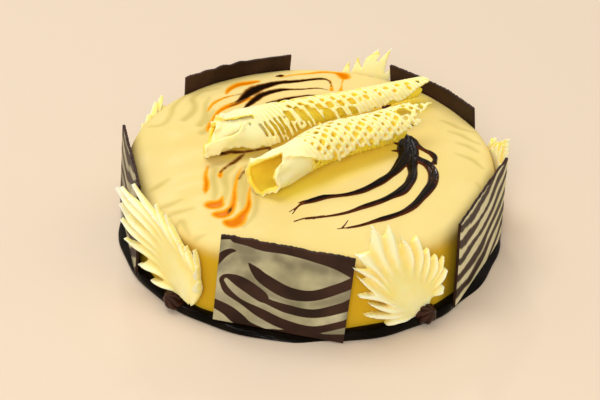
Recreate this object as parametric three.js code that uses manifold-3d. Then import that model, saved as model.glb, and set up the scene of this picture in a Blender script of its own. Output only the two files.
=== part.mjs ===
// A round ice cream cake under a pale yellow glaze, about 250 mm across.
// Dark glaze has set in a ring round its foot. Five thin chocolate panels stand against its side, and a
// ribbed fan of white chocolate fills each gap between them, with a dark rosette at its root. Two rolls
// of white chocolate lattice lie on top, beside thick strands of chocolate sauce.
// Units are millimetres, with +Z up. The origin is the middle of the cake's flat underside. Angles are
// degrees round the cake, from its front (-Y) towards its right (+X).
import * as THREE from "three";
import { mergeVertices } from "three/addons/utils/BufferGeometryUtils.js";
import Module from "manifold-3d";

const wasm = await Module();
wasm.setup();

// Driving dimensions.
const CAKE = { radius: 117.5, height: 56.5, shoulder: 8 };
const FOOT = { radius: 125, height: 7 };
const PANEL = { width: 80, height: 62.7, thickness: 2 };
const ROSETTE = { radius: 7.6, length: 14.5, distance: 124.4, height: 8.4, tilt: 50 };
const LATTICE = { thickness: 1.7, bar: 4.6, hole: 4.4 };
const GAP = 0.3; // air between neighbouring solids

const GLAZE = new THREE.MeshStandardMaterial({ color: 0xf6dc8a, roughness: 0.28, metalness: 0 });
const DARK_GLAZE = new THREE.MeshStandardMaterial({ color: 0x120a07, roughness: 0.15, metalness: 0 });
const DARK_CHOCOLATE = new THREE.MeshStandardMaterial({ color: 0x3a2218, roughness: 0.45, metalness: 0 });
const WHITE_CHOCOLATE = new THREE.MeshStandardMaterial({ color: 0xf8e6ab, roughness: 0.45, metalness: 0 });
const COCOA_CREAM = new THREE.MeshStandardMaterial({ color: 0x3b1d14, roughness: 0.4, metalness: 0 });

const { degToRad, lerp, smoothstep, clamp } = THREE.MathUtils;

// A repeatable value from -1 to 1 for a whole number.
function uneven(seed) {
  const x = Math.sin(seed * 127.1 + 11.7) * 43758.5453;
  return 2 * (x - Math.floor(x)) - 1;
}

// ---- Solids ----

function toSolid(geometry) {
  const bare = geometry.clone();
  bare.deleteAttribute("normal");
  bare.deleteAttribute("uv");
  const merged = mergeVertices(bare, 1e-4);
  return new wasm.Manifold(
    new wasm.Mesh({
      numProp: 3,
      vertProperties: merged.attributes.position.array,
      triVerts: new Uint32Array(merged.index.array),
    }),
  );
}

// A solid's largest body as a geometry, without the scraps that a cut can leave.
function toGeometry(solid) {
  const body = solid.decompose().reduce((best, next) => (next.volume() > best.volume() ? next : best));
  const { numProp, numVert, vertProperties, triVerts } = body.getMesh();
  const positions = new Float32Array(numVert * 3);
  for (let i = 0; i < numVert; i++) {
    positions.set(vertProperties.subarray(i * numProp, i * numProp + 3), i * 3);
  }
  const geometry = new THREE.BufferGeometry();
  geometry.setAttribute("position", new THREE.BufferAttribute(positions, 3));
  return geometry.setIndex(new THREE.BufferAttribute(triVerts, 1));
}

// Skins loops of points into a closed solid, with a cap on the first loop and the last.
function skin(loops) {
  const columns = loops[0].length;
  const points = loops.flat();
  const triangles = [];
  const at = (row, column) => row * columns + (column % columns);
  for (let row = 0; row + 1 < loops.length; row++) {
    for (let column = 0; column < columns; column++) {
      const [a, b] = [at(row, column), at(row, column + 1)];
      const [c, d] = [at(row + 1, column + 1), at(row + 1, column)];
      triangles.push(a, b, c, a, c, d);
    }
  }
  const last = loops.length - 1;
  for (const row of [0, last]) {
    const centre = new THREE.Vector3();
    loops[row].forEach((point) => centre.addScaledVector(point, 1 / columns));
    const hub = points.push(centre) - 1;
    for (let column = 0; column < columns; column++) {
      const [a, b] = [at(row, column), at(row, column + 1)];
      triangles.push(...(row === last ? [hub, a, b] : [hub, b, a]));
    }
  }
  return new THREE.BufferGeometry().setFromPoints(points).setIndex(triangles);
}

// A sheet with thickness over a grid of cells. front(row, column) and back(row, column) give a grid
// point on its two faces, and isHole(row, column) says which cells are left open. Rows run upwards and
// columns to the right, as seen from in front.
function sheet(rows, columns, front, back, isHole = () => false) {
  const points = [];
  for (const face of [front, back]) {
    for (let row = 0; row <= rows; row++) {
      for (let column = 0; column <= columns; column++) points.push(face(row, column));
    }
  }
  const toBack = (rows + 1) * (columns + 1);
  const at = (row, column) => row * (columns + 1) + column;
  const isOpen = (row, column) =>
    row < 0 || row >= rows || column < 0 || column >= columns || isHole(row, column);
  const triangles = [];
  const wall = (a, b) => triangles.push(a, a + toBack, b + toBack, a, b + toBack, b);
  for (let row = 0; row < rows; row++) {
    for (let column = 0; column < columns; column++) {
      if (isOpen(row, column)) continue;
      const [a, b] = [at(row, column), at(row, column + 1)];
      const [c, d] = [at(row + 1, column + 1), at(row + 1, column)];
      triangles.push(a, b, c, a, c, d);
      triangles.push(a + toBack, c + toBack, b + toBack, a + toBack, d + toBack, c + toBack);
      if (isOpen(row - 1, column)) wall(a, b);
      if (isOpen(row, column + 1)) wall(b, c);
      if (isOpen(row + 1, column)) wall(c, d);
      if (isOpen(row, column - 1)) wall(d, a);
    }
  }
  return new THREE.BufferGeometry().setFromPoints(points).setIndex(triangles);
}

// ---- The whole cake as a group ----

const cake = new THREE.Group();

function addMesh(parent, name, geometry, material) {
  const mesh = new THREE.Mesh(geometry, material);
  mesh.name = name;
  parent.add(mesh);
  return mesh;
}

// A group turned to an angle round the cake, where -Y points straight out from it.
function addTurned(angle) {
  const group = new THREE.Group();
  group.rotation.z = degToRad(angle);
  cake.add(group);
  return group;
}

// ---- Chocolate panels ----

// A panel stands on the foot ring. lean tips its top in towards the cake, roll lifts its right end, and
// bend is how far its two ends curve back behind its middle.
const PANELS = [
  { name: "panel_front", angle: -8.7, distance: 118.9, foot: 3.9, lean: 0, roll: -4.9, bend: 0 },
  { name: "panel_right", angle: 65.2, distance: 118.6, foot: 3.4, lean: 0, roll: 1.6, bend: 0 },
  { name: "panel_back_right", angle: 131.4, distance: 117.6, foot: 5.6, lean: 4.5, roll: -1.8, bend: 4 },
  { name: "panel_back_left", angle: -151.3, distance: 117.2, foot: 4.9, lean: 4.5, roll: 1.4, bend: 4 },
  { name: "panel_left", angle: -77.8, distance: 119.6, foot: 4.4, lean: 3.5, roll: 2.5, bend: 0 },
];

function panelGeometry({ bend }, index) {
  const columns = 12;
  const point = (row, column, y) => {
    const across = (2 * column) / columns - 1;
    const top = PANEL.height + 0.5 * uneven(13 * index + column);
    return new THREE.Vector3((across * PANEL.width) / 2, y + bend * across ** 2, row ? top : 0);
  };
  return sheet(
    1,
    columns,
    (row, column) => point(row, column, 0),
    (row, column) => point(row, column, PANEL.thickness),
  );
}

// The space that a panel needs, with a gap all round it.
function panelSpace({ bend }) {
  const columns = bend ? 12 : 1;
  const point = (row, column, y) => {
    const across = (2 * column) / columns - 1;
    const x = across * (PANEL.width / 2 + GAP);
    return new THREE.Vector3(x, y + bend * across ** 2, row ? PANEL.height + 2 : -GAP);
  };
  return sheet(
    1,
    columns,
    (row, column) => point(row, column, -GAP),
    (row, column) => point(row, column, PANEL.thickness + GAP),
  );
}

const panelSpaces = PANELS.map((panel, index) => {
  const { name, angle, distance, foot, lean, roll } = panel;
  const mesh = addMesh(addTurned(angle), name, panelGeometry(panel, index), DARK_CHOCOLATE);
  mesh.position.set(0, -distance, foot);
  mesh.rotation.set(degToRad(-lean), degToRad(-roll), 0);
  mesh.updateWorldMatrix(true, false);
  return panelSpace(panel).applyMatrix4(mesh.matrixWorld);
});

// Cuts the panels' places out of a solid in a turned group.
function cutPanels(solid, group = cake) {
  const toGroup = group.matrixWorld.clone().invert();
  return panelSpaces.reduce(
    (rest, space) => rest.subtract(toSolid(space.clone().applyMatrix4(toGroup))),
    solid,
  );
}

// ---- The cake and its sauce ----

// Thick strands of sauce that stand up from the glaze: one pool, and the trails drawn out of it. Each
// runs through [x, y, width] points.
const STRANDS = [
  { height: 2.4, points: [[58, 27, 4], [64, 21, 12], [67, 12, 15], [66, 3, 13], [61, -6, 7]] },
  {
    height: 1.9,
    points: [[64, 16, 6], [60, 2, 9], [43, -28, 7.5], [24, -48, 5.5], [6, -61, 4.5], [-10, -71, 1.5]],
  },
  {
    height: 1.9,
    points: [[66, 12, 6], [64, -6, 8.5], [60, -24, 9], [47, -46, 8.5], [25, -64, 5.5], [-9, -80, 1.2]],
  },
  {
    height: 1.9,
    points: [[66, 22, 5], [75, 7, 7], [80, -12, 8], [77, -40, 7.5], [62, -62, 6.5], [21, -87, 1]],
  },
  { height: 1.6, points: [[64, 31, 3], [70, 25, 5], [76, 14, 4.5], [83, 4, 4.5], [83, -8, 3]] },
];

function strandGeometry({ height, points }) {
  const steps = 3 * (points.length - 1);
  const crown = [0, 45, 90, 135, 180].map(degToRad);
  const route = new THREE.CatmullRomCurve3(
    points.map((point) => new THREE.Vector3(...point)), // z carries the width along the curve
    false,
    "centripetal",
  );
  const loops = [];
  for (let step = 0; step <= steps; step++) {
    const here = route.getPoint(step / steps);
    const ahead = route.getTangent(step / steps);
    const across = new THREE.Vector3(-ahead.y, ahead.x, 0).normalize();
    const halfWidth = Math.max(here.z, 0.8) / 2;
    const rise = height * Math.min(1, 0.35 + halfWidth / 3);
    const place = (side, z) => new THREE.Vector3(here.x, here.y, z).addScaledVector(across, halfWidth * side);
    loops.push([
      place(1, CAKE.height - 4),
      ...crown.map((turn) => place(Math.cos(turn), CAKE.height - 0.35 + (rise + 0.35) * Math.sin(turn))),
      place(-1, CAKE.height - 4),
    ]);
  }
  return skin(loops);
}

// Soft unevenness of the poured glaze near the rim.
function rimDip(x, y) {
  const angle = Math.atan2(x, -y);
  const ripple = Math.sin(7 * angle) * Math.sin(3 * angle + 0.7);
  return 0.35 * smoothstep(Math.hypot(x, y), 80, 110) * (1 + ripple);
}

function cakeGeometry() {
  const { radius, height, shoulder } = CAKE;
  const profile = new THREE.Path();
  profile.moveTo(0, 0);
  profile.lineTo(radius, 0);
  profile.lineTo(radius, FOOT.height + 2);
  profile.lineTo(radius, height - shoulder);
  profile.absarc(radius - shoulder, height - shoulder, shoulder, 0, Math.PI / 2);
  for (const topRadius of [101, 90, 70, 35, 0]) profile.lineTo(topRadius, height);
  const geometry = new THREE.LatheGeometry(profile.getPoints(4), 80).rotateX(Math.PI / 2);
  const position = geometry.attributes.position;
  for (let i = 0; i < position.count; i++) {
    const [x, y, z] = [position.getX(i), position.getY(i), position.getZ(i)];
    if (z > height - shoulder + 0.1) position.setZ(i, z - rimDip(x, y));
  }
  return geometry;
}

const cakeSolid = STRANDS.reduce(
  (solid, strand) => solid.add(toSolid(strandGeometry(strand))),
  toSolid(cakeGeometry()),
);
addMesh(cake, "cake_body", toGeometry(cutPanels(cakeSolid)), GLAZE);

// ---- The ring of dark glaze round the foot ----

// The ring's section, and the room that a neighbour leaves round it.
function footRing(room = 0) {
  const inner = CAKE.radius + GAP - 2 * room;
  const section = [
    [inner, -room],
    [FOOT.radius - 1 + room, -room],
    [FOOT.radius + room, 1.3],
    [FOOT.radius + room, 3],
    [FOOT.radius - 1.2 + room, 4.8 + room],
    [FOOT.radius - 3.6, FOOT.height - 0.6 + room],
    [inner, FOOT.height + room],
    [inner, -room],
  ].map(([radius, z]) => new THREE.Vector2(radius, z));
  return new THREE.LatheGeometry(section, 64).rotateX(Math.PI / 2);
}

addMesh(cake, "dark_foot_ring", toGeometry(cutPanels(toSolid(footRing()))), DARK_GLAZE);

// ---- Dark rosettes ----

// A star-piped rosette that leans out from the cake, in a group turned to its angle.
function rosetteGeometry(turn) {
  const ribs = 6;
  const rows = 5;
  const loops = [];
  for (let row = 0; row <= rows; row++) {
    const v = row / rows;
    const girth = Math.sin(Math.PI * lerp(0.16, 0.97, v)) ** 0.8 * lerp(1, 0.8, v);
    const loop = [];
    for (let column = 0; column < ribs * 2; column++) {
      const angle = (column / ribs) * Math.PI + 0.9 * v + turn;
      const radius = ROSETTE.radius * girth * (column % 2 === 0 ? 1 : 0.8);
      const z = (v - 0.5) * ROSETTE.length;
      loop.push(new THREE.Vector3(radius * Math.cos(angle), radius * Math.sin(angle), z));
    }
    loops.push(loop);
  }
  return placeRosette(skin(loops));
}

function placeRosette(geometry) {
  return geometry.rotateX(degToRad(ROSETTE.tilt)).translate(0, -ROSETTE.distance, ROSETTE.height);
}

// The space that a rosette needs, with a gap all round it.
function rosetteSpace() {
  const { radius, length } = ROSETTE;
  const space = new THREE.SphereGeometry(1, 9, 6).rotateX(Math.PI / 2);
  return placeRosette(space.scale(radius + 1, radius + 1, length / 2 + 1.5));
}

function rosetteSolid(turn) {
  const cakeSide = new THREE.CylinderGeometry(CAKE.radius + GAP, CAKE.radius + GAP, 60, 80);
  const underneath = new THREE.BoxGeometry(60, 60, 20).translate(0, -ROSETTE.distance, -9.8);
  return toSolid(rosetteGeometry(turn))
    .subtract(toSolid(footRing(GAP)))
    .subtract(toSolid(cakeSide.rotateX(Math.PI / 2)))
    .subtract(toSolid(underneath));
}

// ---- Fans of white chocolate ----

// A fan is a flat ribbed sheet that stands against the cake's side, facing an angle. Its ribs run from a
// root to the tips of its fingers, listed as [across, z] from low on the left round to low on the right.
// size draws the tips in towards the root, and rosette is the angle of the rosette in front of it.
const TIPS = [
  [-16, 8.4], [-32.4, 20], [-30.5, 28], [-35.8, 38.3], [-39.7, 49.2], [-40, 59.2], [-39.4, 68.1],
  [-32.7, 84.6], [-20.6, 82], [-7.9, 73], [3.2, 68.5], [11.1, 56], [18.5, 49], [24.2, 46], [25.2, 36],
  [23, 25],
];
const LEFT_TIPS = [
  [-19, 13], [-29, 21.5], [-43, 34.5], [-45.8, 46.5], [-46.6, 57.5], [-46.4, 70], [-40, 74], [-29.5, 80.4],
  [-21.8, 75.5], [-11.8, 73], [-1.4, 70.3], [8.5, 58.5], [16, 55.3], [24, 57], [25.8, 45], [27, 34],
];
const FANS = [
  { name: "front_right", angle: 30, rosette: 35.6, distance: 118.9, root: [13, 9.4], tips: TIPS, size: 1 },
  { name: "right", angle: 101, rosette: 106, distance: 118.7, root: [10, 9.4], tips: TIPS, size: 0.81 },
  { name: "back", angle: 167, rosette: 173, distance: 118.7, root: [10, 9.4], tips: TIPS, size: 0.85 },
  { name: "back_left", angle: -116, rosette: -111, distance: 119.5, root: [9, 9.4], tips: TIPS, size: 0.65 },
  {
    name: "front_left",
    angle: -43,
    rosette: -41.8,
    distance: 121.5,
    root: [18.5, 10.5],
    tips: LEFT_TIPS,
    size: 1,
  },
];

function fanGeometry({ distance, root, tips, size }, index) {
  const rows = 3;
  const inner = 0.1; // the share of each rib that the root's end leaves out
  const start = new THREE.Vector2(...root);
  const fingers = tips.map((tip) => new THREE.Vector2(...tip).sub(start).multiplyScalar(size));
  const point = (row, column, isFront) => {
    const isRib = column % 2 === 0;
    const finger = fingers[Math.floor(column / 2)].clone();
    if (!isRib) {
      const split = 0.77 + 0.06 * uneven(column + 31 * index);
      finger.lerp(fingers[(column + 1) / 2], 0.5).multiplyScalar(split);
    }
    const v = lerp(inner, 1, row / rows);
    const at = finger.multiplyScalar(v).rotateAround(new THREE.Vector2(), degToRad(15 * (1 - v) ** 2));
    const thickness = lerp(3.4, 1.2, clamp(at.length() / 70, 0, 1)) * (isRib ? 1 : 0.5);
    at.add(start);
    const lean = 1.5 * smoothstep(at.y, 50, 85);
    return new THREE.Vector3(at.x, -(distance + lean + (isFront ? thickness : 0)), at.y);
  };
  return sheet(
    rows,
    2 * (tips.length - 1),
    (row, column) => point(row, column, true),
    (row, column) => point(row, column, false),
  );
}

FANS.forEach((fan, index) => {
  const group = addTurned(fan.angle);
  group.updateWorldMatrix(true, false);
  const space = rosetteSpace().rotateZ(degToRad(fan.rosette - fan.angle));
  const fanSolid = toSolid(fanGeometry(fan, index)).subtract(toSolid(space));
  addMesh(group, `fan_${fan.name}`, toGeometry(cutPanels(fanSolid, group)), WHITE_CHOCOLATE);
  addMesh(addTurned(fan.rosette), `rosette_${fan.name}`, toGeometry(rosetteSolid(index)), COCOA_CREAM);
});

// ---- Rolls of white chocolate lattice ----

// A roll is a sheet wound a little more than one turn, lying on the glaze from start to end, with its end
// lifted. Its radius goes from one value to the other, and the sheet is plain for some way from its open
// start, before the cells between its bars are open.
const ROLLS = [
  {
    name: "lattice_roll_rear",
    start: [-64, -2],
    end: [73, 70.5],
    lift: 3.5,
    radii: [12, 7.2],
    plain: 50,
  },
  {
    name: "lattice_roll_front",
    start: [-30, -49.5],
    end: [57, 20],
    lift: 0.5,
    radii: [13.2, 12.4],
    plain: 34,
  },
];

// The roll along +X, resting on the XY plane.
function rollGeometry({ radii, plain }, length, index) {
  const stations = [0, plain / 2, plain];
  while (stations.at(-1) + LATTICE.hole + 2 * LATTICE.bar < length) {
    const hole = stations.at(-1) + LATTICE.hole;
    stations.push(hole, hole + LATTICE.bar);
  }
  stations.push(length);
  const rows = stations.length - 1;
  const columns = 13;
  const point = (row, column, inset) => {
    const v = column / columns;
    const ragged = 3.5 * Math.sin(7 * v + 2 * index) * (row === 0 ? 1 : row === rows ? -1 : 0);
    const x = stations[row] + ragged;
    const radius = lerp(...radii, x / length);
    const wound = radius * (1 - 0.3 * v) - inset;
    const turn = degToRad(205 - 405 * v);
    return new THREE.Vector3(x, wound * Math.cos(turn), radius + wound * Math.sin(turn));
  };
  const isHole = (row, column) => {
    const isInLattice = row > 1 && row < rows - 1 && column < columns - 1;
    return isInLattice && row % 2 === 0 && column % 2 === 1;
  };
  return sheet(
    rows,
    columns,
    (row, column) => point(row, column, LATTICE.thickness), // the front face is the roll's inside
    (row, column) => point(row, column, 0),
    isHole,
  );
}

ROLLS.forEach((roll, index) => {
  const start = new THREE.Vector2(...roll.start);
  const along = new THREE.Vector2(...roll.end).sub(start);
  const mesh = addMesh(cake, roll.name, rollGeometry(roll, along.length(), index), WHITE_CHOCOLATE);
  mesh.position.set(start.x, start.y, CAKE.height + 0.5);
  mesh.rotation.set(0, -Math.asin(roll.lift / along.length()), along.angle(), "ZYX");
});

export default cake;
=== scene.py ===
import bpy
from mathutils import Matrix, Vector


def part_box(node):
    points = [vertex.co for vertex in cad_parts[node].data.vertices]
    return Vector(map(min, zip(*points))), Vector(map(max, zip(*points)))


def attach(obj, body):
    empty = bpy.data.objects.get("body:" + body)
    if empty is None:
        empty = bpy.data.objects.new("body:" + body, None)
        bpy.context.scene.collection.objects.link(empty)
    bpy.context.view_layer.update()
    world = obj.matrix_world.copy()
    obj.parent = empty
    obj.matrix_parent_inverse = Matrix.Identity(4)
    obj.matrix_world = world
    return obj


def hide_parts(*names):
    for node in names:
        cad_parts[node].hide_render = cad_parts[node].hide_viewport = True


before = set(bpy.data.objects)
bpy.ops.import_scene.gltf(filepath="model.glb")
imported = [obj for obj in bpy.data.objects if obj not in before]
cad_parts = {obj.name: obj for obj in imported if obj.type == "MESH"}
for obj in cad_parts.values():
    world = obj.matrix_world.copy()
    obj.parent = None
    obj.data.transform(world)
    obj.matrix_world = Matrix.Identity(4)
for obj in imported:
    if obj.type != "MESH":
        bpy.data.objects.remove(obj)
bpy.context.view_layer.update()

import math

import bpy
import numpy as np
from mathutils import Matrix

# An ice cream cake under pale yellow glaze. Lengths are millimetres until a mesh is made, and angles go
# round the cake from its front (-Y) towards its right (+X), in degrees.

# ---- Camera ----
# The photograph was taken from a little over a metre away, looking down at the cake along +Y. The place,
# the focal length and the slight roll are those that lay the ring, the rim and the panels over it.
IMAGE_WIDTH = 600  # pixels
FOCAL_LENGTH = 1821  # pixels
SENSOR = 36  # across
AIM = np.array([-6.54, 0.0, 21.59])
CAMERA_DISTANCE = 1183
ELEVATION = math.radians(33.26)
ROLL = math.radians(1.45)

back = np.array([0, -math.cos(ELEVATION), math.sin(ELEVATION)])
level_right = np.array([1.0, 0.0, 0.0])
level_up = np.array([0, math.sin(ELEVATION), math.cos(ELEVATION)])
right = math.cos(ROLL) * level_right + math.sin(ROLL) * level_up
up = math.cos(ROLL) * level_up - math.sin(ROLL) * level_right
eye = (AIM + back * CAMERA_DISTANCE) / 1000

camera = bpy.data.objects.new("camera", bpy.data.cameras.new("camera"))
camera.data.sensor_width = SENSOR
camera.data.lens = FOCAL_LENGTH * SENSOR / IMAGE_WIDTH
turned = np.eye(4)
turned[:3] = np.column_stack([right, up, back, eye])
camera.matrix_world = Matrix(turned.tolist())
bpy.context.scene.collection.objects.link(camera)
bpy.context.scene.camera = camera

# ---- Floor and light ----
# A plain pale floor, lit by one broad soft light above the cake, a weaker one from the front, a
# small one from behind that sparks on what is glossy, and a pale room all round.
FLOOR_HALF = 6000
FLOOR_COLOUR = (0.70, 0.575, 0.44, 1)
ROOM_COLOUR = (1.0, 0.94, 0.86, 1)
ROOM_STRENGTH = 0.6
LIGHTS = [
    # name, place, aimed at, width, watts
    ("main_light", (-700, 300, 2700), (0, 0, 0), 1500, 38),
    ("side_light", (-200, -2150, 1500), (0, 0, 30), 700, 27),
    ("spark_light", (-250, 2200, 1600), (0, 0, 50), 160, 6),
]


def add_object(name, data):
    piece = bpy.data.objects.new(name, data)
    bpy.context.scene.collection.objects.link(piece)
    return piece


def unit(vectors):
    """A vector, or rows of them, scaled to length 1."""
    return vectors / np.linalg.norm(vectors, axis=-1, keepdims=True)


def add_light(name, place, target, width, watts):
    """A square soft light whose -Z axis points from its place to the target."""
    light = bpy.data.lights.new(name, "AREA")
    light.size = width / 1000
    light.energy = watts
    toward = unit(np.array(place, float) - np.array(target, float))
    across = unit(np.cross([0, 0, 1], toward))
    frame_of_light = np.eye(4)
    frame_of_light[:3] = np.column_stack([across, np.cross(toward, across), toward, np.array(place) / 1000])
    add_object(name, light).matrix_world = Matrix(frame_of_light.tolist())


for light in LIGHTS:
    add_light(*light)

room = bpy.data.worlds.new("room")
room.use_nodes = True
room.node_tree.nodes["Background"].inputs["Color"].default_value = ROOM_COLOUR
room.node_tree.nodes["Background"].inputs["Strength"].default_value = ROOM_STRENGTH
bpy.context.scene.world = room
bpy.context.scene.view_settings.view_transform = "Standard"

floor_finish = bpy.data.materials.new("pale_floor")
floor_finish.use_nodes = True
floor_shader = floor_finish.node_tree.nodes["Principled BSDF"]
floor_shader.inputs["Base Color"].default_value = FLOOR_COLOUR
floor_shader.inputs["Roughness"].default_value = 0.9
floor_mesh = bpy.data.meshes.new("floor")
corners = np.array([(-1, -1, 0), (1, -1, 0), (1, 1, 0), (-1, 1, 0)]) * FLOOR_HALF / 1000
floor_mesh.from_pydata(corners, [], [(0, 1, 2, 3)])
floor_mesh.materials.append(floor_finish)
add_object("floor", floor_mesh)

# ---- Cake under its glaze ----
# The round cake is one solid piece, poured over with a smooth pale yellow glaze that rounds its shoulder.
# While the glaze was soft, a comb was drawn through drops of orange and dark sauce on it, and the
# chocolate panels were pressed against its side.
FOOT_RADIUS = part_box("dark_foot_ring")[1][0] * 1000
FOOT_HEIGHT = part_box("dark_foot_ring")[1][2] * 1000
CAKE_RADIUS = FOOT_RADIUS - 7.5
CAKE_HEIGHT = 56.5
SHOULDER = 8
FLOOR_GAP = 0.15  # the underside's height above the floor
RIM_DIP = 0.35
# Each panel stands at an angle and a distance with its foot at a height. Its top leans in, its right end
# is lifted by a roll, and a bend curves its ends back behind its middle.
PANEL_WIDTH = 80
PANEL_HEIGHT = 62.7
PANEL_THICKNESS = 2
PANELS = {
    "panel_front": dict(angle=-8.7, distance=118.9, foot=3.9, lean=0, roll=-4.9, bend=0),
    "panel_right": dict(angle=65.2, distance=118.6, foot=3.4, lean=0, roll=1.6, bend=0),
    "panel_back_right": dict(angle=131.4, distance=117.6, foot=5.6, lean=4.5, roll=-1.8, bend=4),
    "panel_back_left": dict(angle=-151.3, distance=117.2, foot=4.9, lean=4.5, roll=1.4, bend=4),
    "panel_left": dict(angle=-77.8, distance=119.6, foot=4.4, lean=3.5, roll=2.5, bend=0),
}
# How much painted shade darkens the glaze beside each panel, fading between two distances from it.
SHADED_BESIDE = {
    "panel_front": 0.2, "panel_right": 1, "panel_back_right": 0.4, "panel_back_left": 0.4,
    "panel_left": 0.9,
}
SHADED_REACH = (-2, 12)
# The light that each roll throws back on the glaze, along a [start, way] line and fading beside it.
GLOW_LINES = [[[-66, -3], [137, 74]], [[-28, -49], [85, 68]]]
GLOW_SHARES = (0.12, 0.95)  # of the way, where the glow starts and ends
GLOW_REACH = (4, 21)
# Strokes drawn through the glaze, each through [x, y, width] points.
ORANGE_STROKES = [
    [[22, 103, 8], [21, 105, 8], [16, 108, 3], [8, 109, 2.5], [-2, 107, 2], [-12, 105, 1.5],
     [-22, 101, 1.5]],
    [[21, 101, 1.5], [20, 92, 0.8], [19, 82, 2.5]],
    [[13, 84, 2.5], [13, 91, 1], [12, 98, 1]],
    [[-37, 94, 2.5], [-44, 91, 5], [-51, 88, 5.5], [-56, 82, 4], [-58, 76, 2]],
    [[-53, 74, 1], [-59, 70, 2], [-64, 65, 2.5], [-67, 60, 2], [-69, 53, 1.5]],
    [[-38, 72, 2], [-44, 68, 3.5], [-50, 63, 4.5], [-56, 59, 4.5], [-61, 53, 3], [-64, 46, 2.5],
     [-67, 34, 3], [-68, 27, 2]],
    [[-65, -16, 0.5], [-66, -27, 2.5], [-65, -36, 3.5], [-65, -43, 3.5], [-65, -48, 1]],
    [[-54, -50, 0.5], [-55, -56, 3.5], [-57, -60, 8.5], [-60, -61, 9], [-62, -61, 6]],
    [[-44, -17, 0.5], [-46, -27, 1.5], [-47, -40, 2], [-47, -53, 3], [-48, -63, 4.5], [-51, -69, 7.5],
     [-54, -71, 9], [-57, -71, 6]],
    [[-37, -35, 0.5], [-38, -46, 1.5], [-38, -60, 3.5], [-41, -71, 6], [-44, -78, 9], [-47, -80, 10],
     [-50, -79, 6]],
    [[-56, -20, 0.5], [-57, -26, 3], [-57, -29, 1.5]],
]
DARK_STROKES = [
    [[13, 89, 0.5], [11, 97, 1.5], [5, 99, 2.5], [-9, 96, 3.5], [-22, 93, 4.5], [-30, 89, 6], [-37, 84, 8],
     [-42, 78, 8.5], [-46, 71, 5], [-50, 66, 1.5], [-55, 62, 0.2]],
    [[10, 84, 0.5], [4, 86, 1], [-8, 84, 1.5], [-19, 83, 3], [-27, 80, 4.5], [-34, 75, 5.5], [-38, 69, 5.5],
     [-42, 62, 3.5], [-45, 57, 1.2], [-48, 53, 0.2]],
    [[9, 76, 0.5], [-2, 76, 1], [-12, 73, 2], [-18, 70, 3.5], [-24, 67, 3.5], [-30, 64, 2]],
    [[-20, 104, 1], [-22, 103, 3], [-25, 102, 1]],
    [[-48, -62, 0.5], [-49, -66, 1.5], [-50, -69, 0.5]],
]
# Where the dark sauce was dragged out thin, and is brown. The first stroke, under the rear roll's lip,
# is also painted shadow from the lip.
SMOKY_STROKES = [
    [[-64, 0, 2.5], [-58, -1, 5], [-52, 1, 5], [-46, 1, 5], [-38, 3, 4], [-27, 8, 3]],
    [[-42, 3, 2.5], [-45, -5, 4], [-49, -11, 4.5], [-53, -16, 3], [-57, -23, 2.5]],
    [[-27, 8, 2], [-27, 1, 3.5], [-30, -8, 4], [-36, -13, 3], [-41, -17, 1.5]],
    [[-46, 77, 2], [-52, 74, 2], [-58, 71, 1.5], [-64, 66, 1]],
    [[-44, 70, 3], [-49, 64, 3], [-55, 59, 1.5]],
    [[-37, -15, 3], [-40, -19, 3.5], [-43, -23, 3], [-45, -30, 1.5]],
]
# Grooves of the comb that carry no sauce. The shade in them is painted olive.
GROOVES = [
    [[-71, 88, 1], [-82, 78, 2], [-88, 67, 2.5], [-92, 56, 3], [-93, 46, 2.5], [-97, 34, 2.5],
     [-106, 30, 1]],
    [[-63, 83, 1], [-74, 78, 2], [-80, 69, 3.5], [-78, 59, 4], [-79, 50, 4.5], [-84, 40, 4]],
    [[-69, 70, 1], [-71, 61, 2.5], [-70, 50, 4], [-70, 41, 6], [-73, 34, 5]],
    [[-65, 53, 2], [-68, 43, 3], [-67, 32, 4], [-71, 24, 5]],
    [[-83, 82, 1], [-95, 66, 2], [-103, 52, 2], [-110, 38, 1]],
    [[86, 48, 1], [92, 44, 3], [98, 38, 2.5], [106, 34, 1]],
    [[90, 34, 1], [97, 30, 3], [103, 24, 2.5], [109, 19, 1]],
    [[94, 20, 1], [101, 16, 3], [107, 10, 1.5]],
    [[-93, -66, 1], [-87, -62, 3], [-79, -55, 1]],
    [[-87, -75, 1], [-82, -70, 3.5], [-72, -65, 1]],
    [[-82, -85, 1.5], [-78, -79, 4.5], [-75, -85, 2.5], [-72, -91, 0.5]],
    [[-76, -100, 1], [-71, -95, 3], [-63, -93, 1]],
    [[-100, -47, 1], [-95, -41, 3], [-89, -33, 1]],
    [[93, 6, 1], [103, 0, 3], [109, -10, 1]],
    [[104, -28, 1], [109, -40, 2.5], [110, -52, 0.5]],
    [[-60, -20, 3], [-61, -30, 4], [-59, -44, 4], [-59, -54, 2]],
    [[-33, -13, 4], [-40, -20, 6.5], [-43, -28, 5], [-44, -43, 4], [-44, -55, 2]],
    [[-49, -16, 3], [-54, -27, 5], [-52, -42, 4], [-53, -54, 3]],
    [[-41, -16, 4], [-46, -30, 5.5], [-46, -46, 5], [-48, -58, 3]],
    [[-34, -16, 4], [-40, -32, 5.5], [-41, -48, 5], [-41, -64, 3]],
    [[-27, -22, 2], [-33, -38, 3], [-33, -54, 3.5], [-34, -70, 3], [-40, -83, 2]],
]
SAUCE_DEPTH = 0.5  # of a stroke in the glaze
GROOVE_DEPTH = 0.45
SMOKY_SHARE = 0.68  # how dark a smoky stroke is, beside a dark one
# Painted shade: the glaze is painted deeper golden down the side, fully at this depth below the top.
SIDE_SHADE_DEPTH = 14  # below the top, where the side's deeper colour is full


def smooth_step(x, low, high):
    """0 below low and 1 above high, with an S-shaped rise between them."""
    t = np.clip((x - low) / (high - low), 0, 1)
    return t * t * (3 - 2 * t)


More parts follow.
